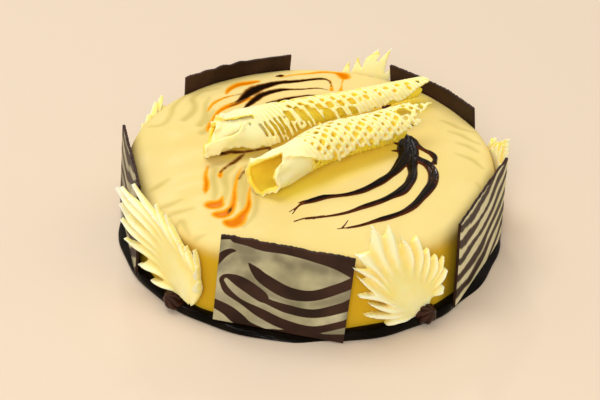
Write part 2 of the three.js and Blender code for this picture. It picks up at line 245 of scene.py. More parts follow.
def unevenness(x, y, length, seed):
    """From about -1 to 1 over a plane: a few sine waves of about one length, summed, whose directions and
    phases are drawn at random."""
    waves = 7
    draw = np.random.default_rng(seed)
    total = 0
    for heading, phase, stretch in draw.uniform(0, 1, (waves, 3)):
        along = x * math.cos(2 * math.pi * heading) + y * math.sin(2 * math.pi * heading)
        total = total + np.sin(2 * math.pi * (along / (length * (0.7 + 0.8 * stretch)) + phase))
    return total / math.sqrt(waves)


def smooth_curve(points, count):
    """A smooth route through points, as count evenly spread rows. Between two points it is a cubic that
    leaves each along the line between that point's neighbours (Catmull-Rom)."""
    steps = 24  # between two points
    knots = np.array(points, float)
    padded = np.vstack([2 * knots[0] - knots[1], knots, 2 * knots[-1] - knots[-2]])
    t = np.linspace(0, 1, steps, endpoint=False)[:, None, None]
    p0, p1, p2, p3 = padded[:-3], padded[1:-2], padded[2:-1], padded[3:]
    spans = 0.5 * (
        2 * p1 + (p2 - p0) * t + (2 * p0 - 5 * p1 + 4 * p2 - p3) * t**2 + (3 * p1 - p0 - 3 * p2 + p3) * t**3
    )
    dense = np.vstack([spans.transpose(1, 0, 2).reshape(-1, knots.shape[1]), knots[-1]])
    travelled = np.concatenate([[0], np.cumsum(np.linalg.norm(np.diff(dense, axis=0), axis=1))])
    wanted = np.linspace(0, travelled[-1], count)
    return np.column_stack([np.interp(wanted, travelled, dense[:, axis]) for axis in range(knots.shape[1])])


def circle(count):
    """Evenly spread angles once round, in radians."""
    return np.linspace(0, 2 * math.pi, count, endpoint=False)


def turn(degrees, axis):
    """The matrix that turns a column vector about X, Y or Z."""
    c, s = math.cos(math.radians(degrees)), math.sin(math.radians(degrees))
    if axis == "X":
        return np.array([[1, 0, 0], [0, c, -s], [0, s, c]])
    if axis == "Y":
        return np.array([[c, 0, s], [0, 1, 0], [-s, 0, c]])
    return np.array([[c, -s, 0], [s, c, 0], [0, 0, 1]])


def panel_frame(angle, distance, foot, lean, roll, bend):
    """A panel's turning matrix and origin: tilted in its own axes, set out from the cake, and turned to
    its angle. Its X runs across, its -Y faces out and its Z runs up."""
    around = turn(angle, "Z")
    return around @ turn(-lean, "X") @ turn(-roll, "Y"), around @ np.array([0, -distance, foot])


def pressed_in(points):
    """Points moved in along each panel's own depth until they lie behind it, less and less past its ends
    and under its foot."""
    air = 0.15
    margin = 3  # past the ends and under the foot
    reach = 30  # behind the outer face
    farthest = 12
    half = PANEL_WIDTH / 2
    for panel in PANELS.values():
        matrix, origin = panel_frame(**panel)
        local = (points - origin) @ matrix
        behind = PANEL_THICKNESS + air + panel["bend"] * (2 * local[..., 0] / PANEL_WIDTH) ** 2
        inside = smooth_step(-np.abs(local[..., 0]), -half - margin, -half)
        inside = inside * smooth_step(local[..., 2], -margin, 0) * (local[..., 1] < reach)
        push = np.clip(behind - local[..., 1], 0, farthest) * inside
        points = points + push[..., None] * matrix[:, 1]
    return points


def loft(rings, endless=False):
    """A closed skin over rings, a (rows, columns, 3) array of points: four-sided faces from one ring to
    the next, and either a fan to the mean point of each end ring or, where the rings are endless, faces
    from the last ring to the first. Faces point outwards where the columns run anticlockwise as seen from
    the last ring."""
    rows, columns = rings.shape[:2]
    index = np.arange(rows * columns).reshape(rows, columns)
    ahead = np.roll(index, -1, axis=1)
    if endless:
        faces = np.stack([index, ahead, np.roll(ahead, -1, axis=0), np.roll(index, -1, axis=0)], -1)
        return rings.reshape(-1, 3), faces.reshape(-1, 4).tolist()
    sides = np.stack([index[:-1], ahead[:-1], ahead[1:], index[1:]], -1).reshape(-1, 4)
    hubs = np.stack([rings[0].mean(0), rings[-1].mean(0)])
    hub = np.full(columns, rows * columns)
    ends = np.concatenate(
        [np.stack([ahead[0], index[0], hub], -1), np.stack([index[-1], ahead[-1], hub + 1], -1)]
    )
    return np.vstack([rings.reshape(-1, 3), hubs]), sides.tolist() + ends.tolist()


def add_piece(name, points, faces):
    """A smooth-shaded object through points in millimetres."""
    mesh = bpy.data.meshes.new(name)
    mesh.from_pydata(points / 1000, [], faces)
    mesh.shade_smooth()
    return add_object(name, mesh)


def paint(piece, name, values):
    """Stores one value at each point of a piece, for its material to read."""
    layer = piece.data.attributes.new(name, "FLOAT", "POINT")
    layer.data.foreach_set("value", np.asarray(values, np.float32).ravel())


def with_hubs(values, first, last):
    """Values at the ring points of a loft, and then those at the hubs of its first and last ring."""
    return np.append(values.ravel(), [first, last])


def dress(piece, material, slot, *nodes):
    """Gives a piece its material, and says which nodes it stands for. Its slot is not used."""
    piece.data.materials.append(material)
    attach(piece, "root")
    if nodes:
        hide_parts(*nodes)


class Shade:
    """An output socket of a material's nodes, on which arithmetic adds Math nodes."""

    def __init__(self, tree, socket=None):
        self.tree = tree
        self.socket = socket

    def node(self, kind, settings=None, inputs=None, output=0):
        """Adds a node of a kind. First its settings are set, and then its inputs, by name or number, to
        values or to other shades' sockets."""
        node = self.tree.nodes.new(kind)
        for key, value in (settings or {}).items():
            setattr(node, key, value)
        for key, value in (inputs or {}).items():
            if isinstance(value, Shade):
                self.tree.links.new(value.socket, node.inputs[key])
            else:
                node.inputs[key].default_value = value
        return Shade(self.tree, node.outputs[output])

    def maths(self, operation, first, second):
        return self.node("ShaderNodeMath", {"operation": operation}, {0: first, 1: second})

    def __add__(self, other):
        return self.maths("ADD", self, other)

    def __sub__(self, other):
        return self.maths("SUBTRACT", self, other)

    def __rsub__(self, other):
        return self.maths("SUBTRACT", other, self)

    def __mul__(self, other):
        return self.maths("MULTIPLY", self, other)

    __radd__ = __add__
    __rmul__ = __mul__

    def rise(self, low, high):
        """0 below low and 1 above high, with an S-shaped rise between them."""
        settings = {"interpolation_type": "SMOOTHSTEP"}
        return self.node("ShaderNodeMapRange", settings, {"Value": self, "From Min": low, "From Max": high})

    def stored(self, name):
        """The value that paint stored under a name."""
        return self.node("ShaderNodeAttribute", {"attribute_name": name}, output="Fac")

    def noise(self, scale, detail, roughness=0.5):
        """Noise over the object's own coordinates, with its scale in lumps per metre."""
        place = self.node("ShaderNodeTexCoord", output="Object")
        inputs = {"Vector": place, "Scale": scale, "Detail": detail, "Roughness": roughness}
        return self.node("ShaderNodeTexNoise", {}, inputs, output="Fac")

    def between(self, low_colour, high_colour):
        """One colour where this value is 0 and the other where it is 1. Either may be a shade."""
        inputs = {0: self}
        for number, colour in ((6, low_colour), (7, high_colour)):
            inputs[number] = colour if isinstance(colour, Shade) else (*colour, 1)
        return self.node("ShaderNodeMix", {"data_type": "RGBA"}, inputs, output=2)

    def bump(self, height, strength):
        """A normal from this value as relief of a height in millimetres."""
        inputs = {"Height": self, "Distance": height / 1000, "Strength": strength}
        return self.node("ShaderNodeBump", {}, inputs)


def new_finish(name, constants):
    """A material, the shade that adds its nodes, and a function that feeds a shade to its shader. What is
    the same all over goes straight on the shader's own sockets."""
    material = bpy.data.materials.new(name)
    material.use_nodes = True
    shader = material.node_tree.nodes["Principled BSDF"]
    for socket, value in constants.items():
        shader.inputs[socket].default_value = value

    def feed(socket, shade):
        material.node_tree.links.new(shade.socket, shader.inputs[socket])

    return material, Shade(material.node_tree), feed


def glaze_finish():
    """Pale yellow glaze with orange and dark strokes. Painted shade makes it deeper golden down the side,
    darker beside the panels and olive in the comb's grooves, and painted light makes it lemon under the
    rolls. Each colour lies over the one before, and a stroke is amber or brown at its edge."""
    material, shade, feed = new_finish(
        "yellow_glaze",
        {"Subsurface Weight": 0.12, "Subsurface Radius": (1, 0.6, 0.15), "Subsurface Scale": 0.003,
         "Specular IOR Level": 0.0, "Coat Roughness": 0.15, "Coat Weight": 0.02},
    )
    cloud = shade.noise(18, 4)
    warp = (shade.noise(260, 3) - 0.5) * 0.35 + (shade.noise(60, 3) - 0.5) * 0.4
    pale = cloud.rise(0.3, 0.7).between((0.75, 0.585, 0.20), (0.78, 0.62, 0.245))
    # Painted shade: deeper golden down the side.
    deep_shade = shade.stored("side").between(pale, (0.70, 0.43, 0.02))
    # Painted shade beside the panels, darkest next to the right and left ones.
    beside = (0.85 * shade.stored("panel_shade")).between(deep_shade, (0.15, 0.09, 0.005))
    # Painted olive shade in the comb's grooves.
    groove_shade = shade.stored("groove_shade").between(beside, (0.48, 0.37, 0.09))
    orange_edge = shade.stored("orange") + 0.7 * warp
    amber = orange_edge.rise(0.15, 0.6).between(groove_shade, (0.82, 0.37, 0.02))
    orange = orange_edge.rise(0.6, 1.0).between(amber, (0.68, 0.175, 0.0))
    dark_edge = (shade.stored("dark") + warp).rise(0.1, 1.0)
    brown = dark_edge.rise(0.0, 0.5).between(orange, (0.24, 0.08, 0.006))
    # Painted light: the glaze under the rolls is brightened to lemon yellow, as light thrown back by them.
    glowing = 0.8 * shade.stored("glow") * (1.0 - dark_edge.rise(0.0, 0.35))
    glow = glowing.between(brown, (0.94, 0.74, 0.04))
    feed("Base Color", dark_edge.rise(0.3, 0.85).between(glow, (0.008, 0.003, 0.001)))
    feed("Roughness", 0.4 - 0.15 * dark_edge + 0.08 * cloud)
    feed("Normal", (shade.noise(60, 2) + 0.15 * shade.noise(700, 2)).bump(0.5, 0.35))
    return material


def stroke_cover(x, y, strokes, softness, blur=0.0):
    """How much strokes cover points: 1 along a stroke's middle, falling to 0 round its edge. The fall is
    as wide as twice the softness, plus the blur times twice the stroke's width there."""
    steps = 90  # along a stroke
    cover = np.zeros_like(x)
    for stroke in strokes:
        route = smooth_curve(stroke, steps)
        soft = softness + blur * route[:, 2]
        reach = (route[:, 2] / 2 + soft).max()
        near = (x > route[:, 0].min() - reach) & (x < route[:, 0].max() + reach)
        near &= (y > route[:, 1].min() - reach) & (y < route[:, 1].max() + reach)
        gap = np.hypot(x[near][:, None] - route[:, 0], y[near][:, None] - route[:, 1]) - route[:, 2] / 2
        cover[near] = np.maximum(cover[near], 1 - smooth_step((gap / soft).min(1), -1, 1))
    return cover


def near_panels(points):
    """How much points are shaded by a panel: its share beside its ends and behind it, falling to 0."""
    near = np.zeros(points.shape[:-1])
    for name, share in SHADED_BESIDE.items():
        matrix, origin = panel_frame(**PANELS[name])
        local = (points - origin) @ matrix
        past_end = np.clip(np.abs(local[..., 0]) - PANEL_WIDTH / 2, 0, None)
        gap = np.hypot(past_end, np.clip(local[..., 1] - PANEL_THICKNESS, 0, None))
        near = np.maximum(near, share * (1 - smooth_step(gap, *SHADED_REACH)))
    return near


def near_rolls(x, y):
    """1 under each roll's line of glow, falling to 0 beside it."""
    near = np.zeros_like(x)
    for start, way in np.array(GLOW_LINES):
        along = np.clip(((x - start[0]) * way[0] + (y - start[1]) * way[1]) / (way @ way), *GLOW_SHARES)
        gap = np.hypot(x - start[0] - along * way[0], y - start[1] - along * way[1])
        near = np.maximum(near, 1 - smooth_step(gap, *GLOW_REACH))
    return near


def cake_section():
    """The outline of the cake's section in [radius, height] rows: from the middle of its underside out, up
    its side, round its shoulder and in to the middle of its top."""
    flat, upright = CAKE_RADIUS - SHOULDER, CAKE_HEIGHT - SHOULDER
    under = np.column_stack([np.linspace(2, CAKE_RADIUS - 0.5, 10), np.full(10, FLOOR_GAP)])
    side = np.column_stack([np.full(40, CAKE_RADIUS), np.linspace(FLOOR_GAP + 0.4, upright, 40)])
    bow = np.radians(np.linspace(0, 90, 14))[1:]
    shoulder = np.column_stack([flat + SHOULDER * np.cos(bow), upright + SHOULDER * np.sin(bow)])
    top = np.column_stack([np.linspace(flat, 1, 112)[1:], np.full(111, CAKE_HEIGHT)])
    return np.vstack([under, side, shoulder, top])


def build_glaze():
    """The outline of the cake's section is turned about Z. Its height and radius then get low waves, the
    top dips a little towards the rim, the strokes sink grooves in it, and the panels push it in."""
    section = cake_section()
    radius, around = np.meshgrid(section[:, 0], circle(540), indexing="ij")
    height = np.broadcast_to(section[:, 1, None], radius.shape)
    on_side = smooth_step(height, 1, 6) * (1 - smooth_step(height, CAKE_HEIGHT - 12, CAKE_HEIGHT - 4))
    radius = radius - on_side * (0.25 + 0.25 * unevenness(around * CAKE_RADIUS, height * 0.3, 30, 3))
    x, y = radius * np.sin(around), -radius * np.cos(around)
    is_top = smooth_step(height, CAKE_HEIGHT - SHOULDER, CAKE_HEIGHT - 1)
    ripple = np.sin(7 * around) * np.sin(3 * around + 0.7)
    dip = RIM_DIP * smooth_step(radius, 80, 110) * (1 + ripple)
    orange = stroke_cover(x, y, ORANGE_STROKES, 1.2, 0.2)
    smoky = SMOKY_SHARE * stroke_cover(x, y, SMOKY_STROKES, 1.5, 0.4)
    dark = np.maximum(stroke_cover(x, y, DARK_STROKES, 1.3, 0.4), smoky)
    grooves = stroke_cover(x, y, GROOVES, 2.2)
    sunk = SAUCE_DEPTH * np.maximum(orange, dark) + GROOVE_DEPTH * grooves
    height = height - is_top * (dip + sunk + 0.12 * unevenness(x, y, 26, 5))
    rings = pressed_in(np.stack([x, y, height], -1))

    glaze = add_piece("glaze", *loft(rings))
    on_top = {"orange": orange, "dark": dark, "groove_shade": 0.6 * grooves, "glow": near_rolls(x, y)}
    for name, cover in on_top.items():
        paint(glaze, name, with_hubs(cover * is_top, 0, 0))
    # Painted shade down the side, full a little below the shoulder.
    side = 1 - smooth_step(height, CAKE_HEIGHT - SIDE_SHADE_DEPTH, CAKE_HEIGHT - 1)
    paint(glaze, "side", with_hubs(side, 1, 0))
    # Painted shade beside the panels.
    paint(glaze, "panel_shade", with_hubs(near_panels(rings), 0, 0))
    return glaze


dress(build_glaze(), glaze_finish(), "yellow_glaze", "cake_body")

# ---- Ring of dark glaze round the foot ----
# Near-black chocolate glaze was poured round the foot of the cake, where it set as a glossy uneven bead.
RING_INNER = CAKE_RADIUS - 1.5


def dark_glaze_finish():
    material, shade, feed = new_finish("dark_glaze", {"Specular IOR Level": 0.05, "Coat Roughness": 0.05})
    streaks = shade.noise(35, 3).rise(0.4, 0.75)
    feed("Base Color", streaks.between((0.003, 0.002, 0.001), (0.009, 0.005, 0.003)))
    feed("Roughness", 0.12 + 0.16 * shade.noise(90, 3))
    feed("Coat Weight", 0.12 * streaks)
    feed("Normal", (shade.noise(110, 2) + 0.1 * shade.noise(900, 2)).bump(0.5, 0.5))
    return material


def build_ring():
    """A round bead, flat underneath: its section is a superellipse cut off at the floor, carried round the
    cake while its width and height change slowly, and pushed in behind the panels' feet."""
    squareness = 0.75
    middle_share, upper_share = 0.42, 0.58  # of the height, below and above the section's middle
    angle, turned_by = circle(480)[:, None], circle(36)[None, :]
    run = angle * FOOT_RADIUS
    outer = FOOT_RADIUS - 0.5 + 0.45 * unevenness(run, 0 * run, 28, 11)
    top = FOOT_HEIGHT - 0.6 + 0.5 * unevenness(run, 0 * run, 19, 12)
    middle, half = (outer + RING_INNER) / 2, (outer - RING_INNER) / 2
    cos, sin = np.cos(turned_by), np.sin(turned_by)
    radius = middle + half * np.sign(cos) * np.abs(cos) ** squareness
    share = np.clip(middle_share + upper_share * np.sign(sin) * np.abs(sin) ** squareness, 0, 1)
    height = FLOOR_GAP + (top - FLOOR_GAP) * share
    rings = pressed_in(np.stack([radius * np.sin(angle), -radius * np.cos(angle), height], -1))
    return add_piece("foot_ring", *loft(rings[:, ::-1], endless=True))


dress(build_ring(), dark_glaze_finish(), "dark_glaze", "dark_foot_ring")

# ---- Chocolate panels ----
# Thin plates of dark chocolate, cut from a sheet on which white chocolate was combed in curved stripes.
# The striped face is outside and the inner face is plain. Each stands in the dark ring, against the side.
# The even stripes are bands, in shares of a panel's width and height. Each is lowest at its middle and
# rises by the bend times the square of the way across from there.
STRIPES = dict(middle=0.3, bend=0.7, spacing=0.2, first=-0.3, half=0.055)
WORN_EDGE = 0.3
# The front panel's stripes merge and end, so each is a stroke through [across, up, width] points.
FRONT_STROKES = [
    [[-22, 46, 1], [-17, 41, 6], [-11, 36, 8.5], [3, 30, 9], [18, 31, 7.5], [33, 40, 7], [42, 47, 7]],
    [[-36, 27, 3], [-37, 31, 3], [-34, 34, 3], [-25, 31, 8.5], [-13, 24, 8.5], [-9, 21, 4.5], [4, 18, 6.5],
     [20, 18, 6.5], [36, 26, 7], [42, 31, 7]],
    [[-37, 30, 3], [-33, 23, 4.5], [-24, 17, 3.5], [-11, 11, 7], [4, 6, 7.5], [21, 6, 5.5], [36, 13, 5],
     [42, 17, 5]],
    [[-42, 13, 6.5], [-32, 9, 8], [-25, 4, 9], [-18, 0, 6.5], [-6, -2, 3]],
    [[-42, 40, 3], [-38, 48, 4.5], [-34, 52, 3.5], [-31, 53, 1.5]],
    [[-31, 62, 7], [-24, 62, 8], [-15, 61, 9], [-1, 61, 8], [14, 60, 9], [29, 59, 12], [42, 57, 17]],
    [[-6, -1, 3], [2, 0, 3.5], [11, 0, 4.5], [22, 1, 5.5], [31, 2, 6], [42, 3, 9]],
    [[-42, 61, 5], [-35, 62, 3.5]],
]
# Where the dark chocolate was smeared thin into the white.
FRONT_SMEARS = [
    [[-24, 49, 3], [-20, 49, 3]], [[-40, 40, 6], [-32, 46, 4]], [[-20, 36, 5], [-10, 27, 6]],
    [[-6, 53, 3], [2, 50, 3]], [[12, 52, 3], [22, 51, 5]], [[-30, 56, 5], [-22, 55, 4]],
    [[-8, 26, 4], [10, 22, 3]], [[30, 53, 5], [40, 51, 5]], [[20, 25, 2], [38, 33, 4]],
    [[40, 10, 5], [41, 25, 4], [40, 40, 5]], [[20, 3, 3], [38, 8, 6]], [[-40, 55, 3], [-41, 40, 3]],
]


def slab(front, back, kept=None):
    """A closed plate between two (rows, columns, 3) faces, with rows going up and columns to the right as
    seen from in front. It has only the cells whose four corners are kept, and a wall wherever a cell has
    no neighbour."""
    rows, columns = front.shape[:2]
    if kept is None:
        kept = np.ones((rows, columns), bool)
    whole = kept[:-1, :-1] & kept[1:, :-1] & kept[:-1, 1:] & kept[1:, 1:]
    index = np.arange(rows * columns).reshape(rows, columns)
    corners = [index[:-1, :-1], index[:-1, 1:], index[1:, 1:], index[1:, :-1]]
    behind = rows * columns
    near = np.stack(corners, -1)[whole]
    faces = [near, near[:, ::-1] + behind]
    ringed = np.pad(whole, 1)
    beside = [ringed[:-2, 1:-1], ringed[1:-1, 2:], ringed[2:, 1:-1], ringed[1:-1, :-2]]
    for side, neighbour in enumerate(beside):
        bare = whole & ~neighbour
        first, last = corners[side][bare], corners[(side + 1) % 4][bare]
        faces.append(np.stack([first, first + behind, last + behind, last], -1))
    return np.vstack([front.reshape(-1, 3), back.reshape(-1, 3)]), np.vstack(faces).tolist()


def zebra_finish():
    """Dark chocolate, ivory where the stored stripe value is low, greyer in smears and in painted shade,
    and plain inside.
    """
    material, shade, feed = new_finish("zebra_chocolate", {"Specular IOR Level": 0.16})
    cloud = shade.noise(45, 4)
    warp = (shade.noise(90, 4, 0.6) - 0.5) * 0.7
    dark = (shade.stored("stripe") + warp).rise(-0.3, 0.3)
    smeared_and_shaded = (shade.stored("smear_and_shade") + 0.8 * (shade.noise(60, 4) - 0.5)).rise(0.1, 1.0)
    ivory = cloud.rise(0.3, 0.75).between((0.66, 0.61, 0.34), (0.80, 0.74, 0.48))
    grey = (0.8 * smeared_and_shaded).between(ivory, (0.095, 0.08, 0.048))
    cocoa = cloud.rise(0.3, 0.7).between((0.020, 0.008, 0.004), (0.046, 0.018, 0.010))
    outside = shade.stored("outside").rise(0.93, 1.0)
    feed("Base Color", outside.between(cocoa, dark.between(grey, cocoa)))
    feed("Roughness", 0.4 + 0.2 * cloud)
    feed("Normal", (shade.noise(140, 3) + 0.2 * dark).bump(0.25, 0.5))
    return material


def even_stripes(x, z, across, upward, number):
    """How deep points lie in a band, in half thicknesses, where the bands' places and thicknesses waver."""
    bowed = upward - STRIPES["bend"] * ((across + 1) / 2 - STRIPES["middle"]) ** 2
    bowed = bowed + 0.014 * unevenness(x, z, 26, 60 + number)
    place = (bowed - STRIPES["first"]) / STRIPES["spacing"]
    from_band = np.abs(place - np.round(place)) * STRIPES["spacing"]
    return 1 - from_band / (STRIPES["half"] + 0.014 * unevenness(x, z, 33, 90 + number))


def build_panel(name, number):
    """A flat or slightly bent plate with a ragged top edge. The front panel's stripe value is twice its
    strokes' cover less 1."""
    panel = PANELS[name]
    across, upward = np.meshgrid(np.linspace(-1, 1, 101), np.linspace(0, 1, 79))
    ragged = 0.35 * unevenness(across * 40, 0 * across, 9, 40 + number)
    ragged = ragged + 0.25 * unevenness(across * 40, 0 * across, 2.6, 70 + number)
    x = across * PANEL_WIDTH / 2
    z = upward * (PANEL_HEIGHT - 0.3 + ragged)
    y = panel["bend"] * across**2 + 0.15 * unevenness(x, z, 40, 50 + number)
    face = np.stack([x, y, z], -1)
    matrix, origin = panel_frame(**panel)
    front = face @ matrix.T + origin
    inner = (face + [0, PANEL_THICKNESS, 0]) @ matrix.T + origin
    plate = add_piece(name, *slab(front, inner))
    if name == "panel_front":
        stripe = 2 * stroke_cover(x, z, FRONT_STROKES, 0.9) - 1
        # Painted shade greys the whole front panel, and its smears grey it further.
        smear_and_shade = 0.66 + 0.34 * stroke_cover(x, z, FRONT_SMEARS, 4.5)
    else:
        stripe = even_stripes(x, z, across, upward, number)
        smear_and_shade = 0.5 * smooth_step(unevenness(x, z, 40, 95 + number), 0.4, 1.6)
        # Painted shade greys the left panel further.
        smear_and_shade = smear_and_shade + 0.6 * (name == "panel_left")
    paint(plate, "stripe", np.append(stripe, stripe))
    paint(plate, "smear_and_shade", np.append(smear_and_shade, smear_and_shade))
    paint(plate, "outside", np.repeat([1, 0], stripe.size))
    bevel = plate.modifiers.new("worn_edge", "BEVEL")
    bevel.width = WORN_EDGE / 1000
    bevel.segments = 2
    bevel.limit_method = "ANGLE"
    bevel.angle_limit = math.radians(50)
    return plate


zebra = zebra_finish()
for number, name in enumerate(PANELS):
    dress(build_panel(name, number), zebra, "zebra_chocolate", name)

# ---- Fans of white chocolate ----
# Soft white chocolate was spread thin and scraped up with a ridged blade, so that it gathered in a fan of
# thick ribs with pointed fingers. Five fans are pressed on the glaze between the panels.
# Each finger's tip is [across, height], from low on the left, over the top, to low on the right.
TIPS = [
    [-16, 8.4], [-32.4, 20], [-30.5, 28], [-35.8, 38.3], [-39.7, 49.2], [-40, 59.2], [-39.4, 68.1],
    [-32.7, 84.6], [-20.6, 82], [-7.9, 73], [3.2, 68.5], [11.1, 56], [18.5, 49], [24.2, 46], [25.2, 36],
    [23, 25],
]
LEFT_TIPS = [
    [-19, 13], [-29, 21.5], [-43, 34.5], [-45.8, 46.5], [-46.6, 57.5], [-46.4, 70], [-40, 74],
    [-29.5, 80.4], [-21.8, 75.5], [-11.8, 73], [-1.4, 70.3], [8.5, 58.5], [16, 55.3], [24, 57], [25.8, 45],
    [27, 34],
]
# The first few fingers are leaves, which part early. The rest are smooth up to one share of the way out,
# split at another and narrow by a power. All curl by some degrees at the root.
FAN = dict(root=[10, 9.4], tips=TIPS, leaves=4, split=0.74, power=0.7, curl=20, smooth=0.38)
LEFT_FAN = dict(root=[18.5, 10.5], tips=LEFT_TIPS, leaves=0.4, split=0.6, power=0.5, curl=-30, smooth=0.44)
# Where each fan and the rosette at its root stand round the cake, how far out the fan is and its size.
FANS = {
    "front_right": dict(FAN, angle=30, rosette=35.6, distance=118.9, size=1, root=[13, 9.4]),
    "right": dict(FAN, angle=101, rosette=106, distance=118.7, size=0.81),
    "back": dict(FAN, angle=167, rosette=173, distance=118.7, size=0.86, split=0.77, power=0.75),
    "back_left": dict(FAN, angle=-116, rosette=-111, distance=119.5, size=0.65, root=[9, 9.4]),
    "front_left": dict(LEFT_FAN, angle=-43, rosette=-41.8, distance=121.5, size=0.98),
}
BLUNT = 0.08  # share of a finger's half width that its tip keeps
# [share of the way out, a fan's height above the glaze there, without its crests].
FAN_BASE = [[0, 3.4], [0.15, 3.6], [0.4, 2.4], [0.7, 1.5], [1, 1.2]]
CREST_RISE = 4.4
CREST_WIDTH = 0.5  # share of a finger's half width
FAN_VOXEL = 0.5
# Painted light on a fan's crests is full at these heights above the glaze. Lower down, painted shade turns
# it yellow.
CREST_LIGHT_HEIGHT = [[0, 6], [20, 6], [50, 5], [80, 2.8]]  # [from the root, height where a fan is palest]


def profile(points, at):
    """The height of a line through [place, height] points, at other places."""
    return np.interp(at, *zip(*points))


def joined(parts):
    """Several (points, faces) pairs as one."""
    points, faces, count = [], [], 0
    for part_points, part_faces in parts:
        points.append(part_points)
        faces += [[corner + count for corner in face] for face in part_faces]
        count += len(part_points)
    return np.vstack(points), faces


def fused(name, parts, voxel, softening):
    """The parts grown into one skin: the space that they fill is sampled in cubes of voxel millimetres and
    skinned again, and its points are then drawn towards their neighbours softening times."""
    rough = add_piece(name + "_parts", *joined(parts))
    remesh = rough.modifiers.new("fuse", "REMESH")
    remesh.mode = "VOXEL"
    remesh.voxel_size = voxel / 1000
    soften = rough.modifiers.new("soften", "SMOOTH")
    soften.iterations = softening
    bpy.context.view_layer.update()
    mesh = bpy.data.meshes.new_from_object(rough.evaluated_get(bpy.context.evaluated_depsgraph_get()))
    bpy.data.objects.remove(rough)
    mesh.name = name
    mesh.shade_smooth()
    return add_object(name, mesh)


def mesh_points(piece):
    """A piece's points, in millimetres."""
    flat = np.empty(3 * len(piece.data.vertices), np.float32)
    piece.data.vertices.foreach_get("co", flat)
    return flat.reshape(-1, 3) * 1000.0


def white_finish(name, hollow_shade, crest):
    """Creamy white chocolate whose colour goes, as painted shade and light, from a yellow hollow to a pale
    crest with the stored ridge value. Light passes far into it."""
    material, shade, feed = new_finish(
        name,
        {"Subsurface Weight": 0.8, "Subsurface Radius": (1, 0.75, 0.3), "Subsurface Scale": 0.004,
         "Specular IOR Level": 0.22},
    )
    ridge = (shade.stored("ridge") + 0.3 * (shade.noise(120, 3) - 0.5)).rise(0.1, 1.0)
    feed("Base Color", ridge.between(hollow_shade, crest))
    feed("Roughness", 0.42 + 0.15 * shade.noise(200, 2))
    feed("Normal", (shade.noise(320, 3) + 2 * shade.noise(90, 2)).bump(0.3, 0.5))
    return material


def stands_out(height):
    """How far a fan leans out from the glaze at a height."""
    return 1.5 * smooth_step(height, 50, 85)


def build_fan(name, number, angle, distance, root, tips, leaves, split, power, curl, smooth, size):
    """A sheet over a grid of fingers by v, the share of the way from the root to the tips. On its base a
    crest, exp(-(aside / width)^2) or 1 - aside^2 on a leaf, rises along each finger. Beyond its split a
    finger narrows by a power of the way left to its tip. All curl by some degrees times (1 - v)^2."""
    pressed = 0.4  # into the glaze
    draw = np.random.default_rng(80 + number)
    facing = turn(angle, "Z")
    fingers = (np.array(tips) - root) * size
    count = len(fingers)
    bearing = np.unwrap(np.arctan2(fingers[:, 1], fingers[:, 0]))
    bearing = np.concatenate([[2 * bearing[0] - bearing[1]], bearing, [2 * bearing[-1] - bearing[-2]]])
    reach = np.pad(np.linalg.norm(fingers, axis=1), 1, "edge")
    place, v = np.meshgrid(np.linspace(-0.45, count - 0.55, 14 * count), np.linspace(0.03, 1, 120))
    slots = np.arange(-1, count + 1)
    nearest = np.clip(np.round(place), 0, count - 1).astype(int)
    aside = np.clip(2 * np.abs(place - nearest), 0, 1)
    leaf = 1 - smooth_step(place, leaves - 0.6, leaves + 0.6)
    split = draw.uniform(split, split + 0.16, count)[nearest] - 0.3 * leaf
    blunted = np.clip((aside - BLUNT) / (1 - BLUNT), 0, 1)
    kept = v < 1 - (1 - split) * blunted ** (power + 0.5 * leaf)

    crest = leaf * (1 - aside**2) + (1 - leaf) * np.exp(-((aside / CREST_WIDTH) ** 2))
    starts = smooth - 0.15 * leaf
    rise = CREST_RISE * smooth_step(v, starts, starts + 0.4) * (1 - 0.45 * smooth_step(v, 0.8, 1))
    lip = 1 + 0.7 * smooth_step(place, count - 1.6, count - 1)
    high = profile(FAN_BASE, v) + rise * crest * lip * draw.uniform(0.65, 1.2, count)[nearest]
    sway = np.interp(place, slots, draw.uniform(-2.2, 2.2, count + 2)) * np.sin(2.4 * math.pi * v)
    curled = np.interp(place, slots, bearing) + np.radians(curl * (1 - v) ** 2) + sway * 0.025
    far = np.interp(place, slots, reach) * v
    u, z = root[0] + far * np.cos(curled), root[1] + far * np.sin(curled)
    out = distance + stands_out(z) + 1.0 * smooth_step(v, 0.8, 1)
    front = np.stack([u, -out - high, z], -1) @ facing.T
    rear = np.stack([u, -out + pressed, z], -1) @ facing.T
    fan = fused("fan_" + name, [slab(front, rear, kept)], FAN_VOXEL, 4)

    local = mesh_points(fan) @ facing
    height = -local[:, 1] - distance - stands_out(local[:, 2])
    far = np.hypot(local[:, 0] - root[0], local[:, 2] - root[1])
    # Painted shade and light: yellow down in the hollows between the ribs, palest on the high crests.
    ridge = np.where(height < 0.5, 0.7, height / profile(CREST_LIGHT_HEIGHT, far))
    paint(fan, "ridge", np.clip(ridge, 0, 1))
    return fan


white = white_finish("white_chocolate", (0.98, 0.74, 0.19), (0.98, 0.92, 0.60))
for number, (name, fan) in enumerate(FANS.items()):
    shape = {key: value for key, value in fan.items() if key != "rosette"}
    dress(build_fan(name, number, **shape), white, "white_chocolate", "fan_" + name)

# ---- Dark rosettes ----
# Chocolate cream piped through a star nozzle at the root of each fan, with ridges that twist to a point.
ROSETTE_RADIUS = 7.6
ROSETTE_LENGTH = 14.5
ROSETTE_DISTANCE = 124.4
ROSETTE_HEIGHT = 8.4
ROSETTE_TILT = 50


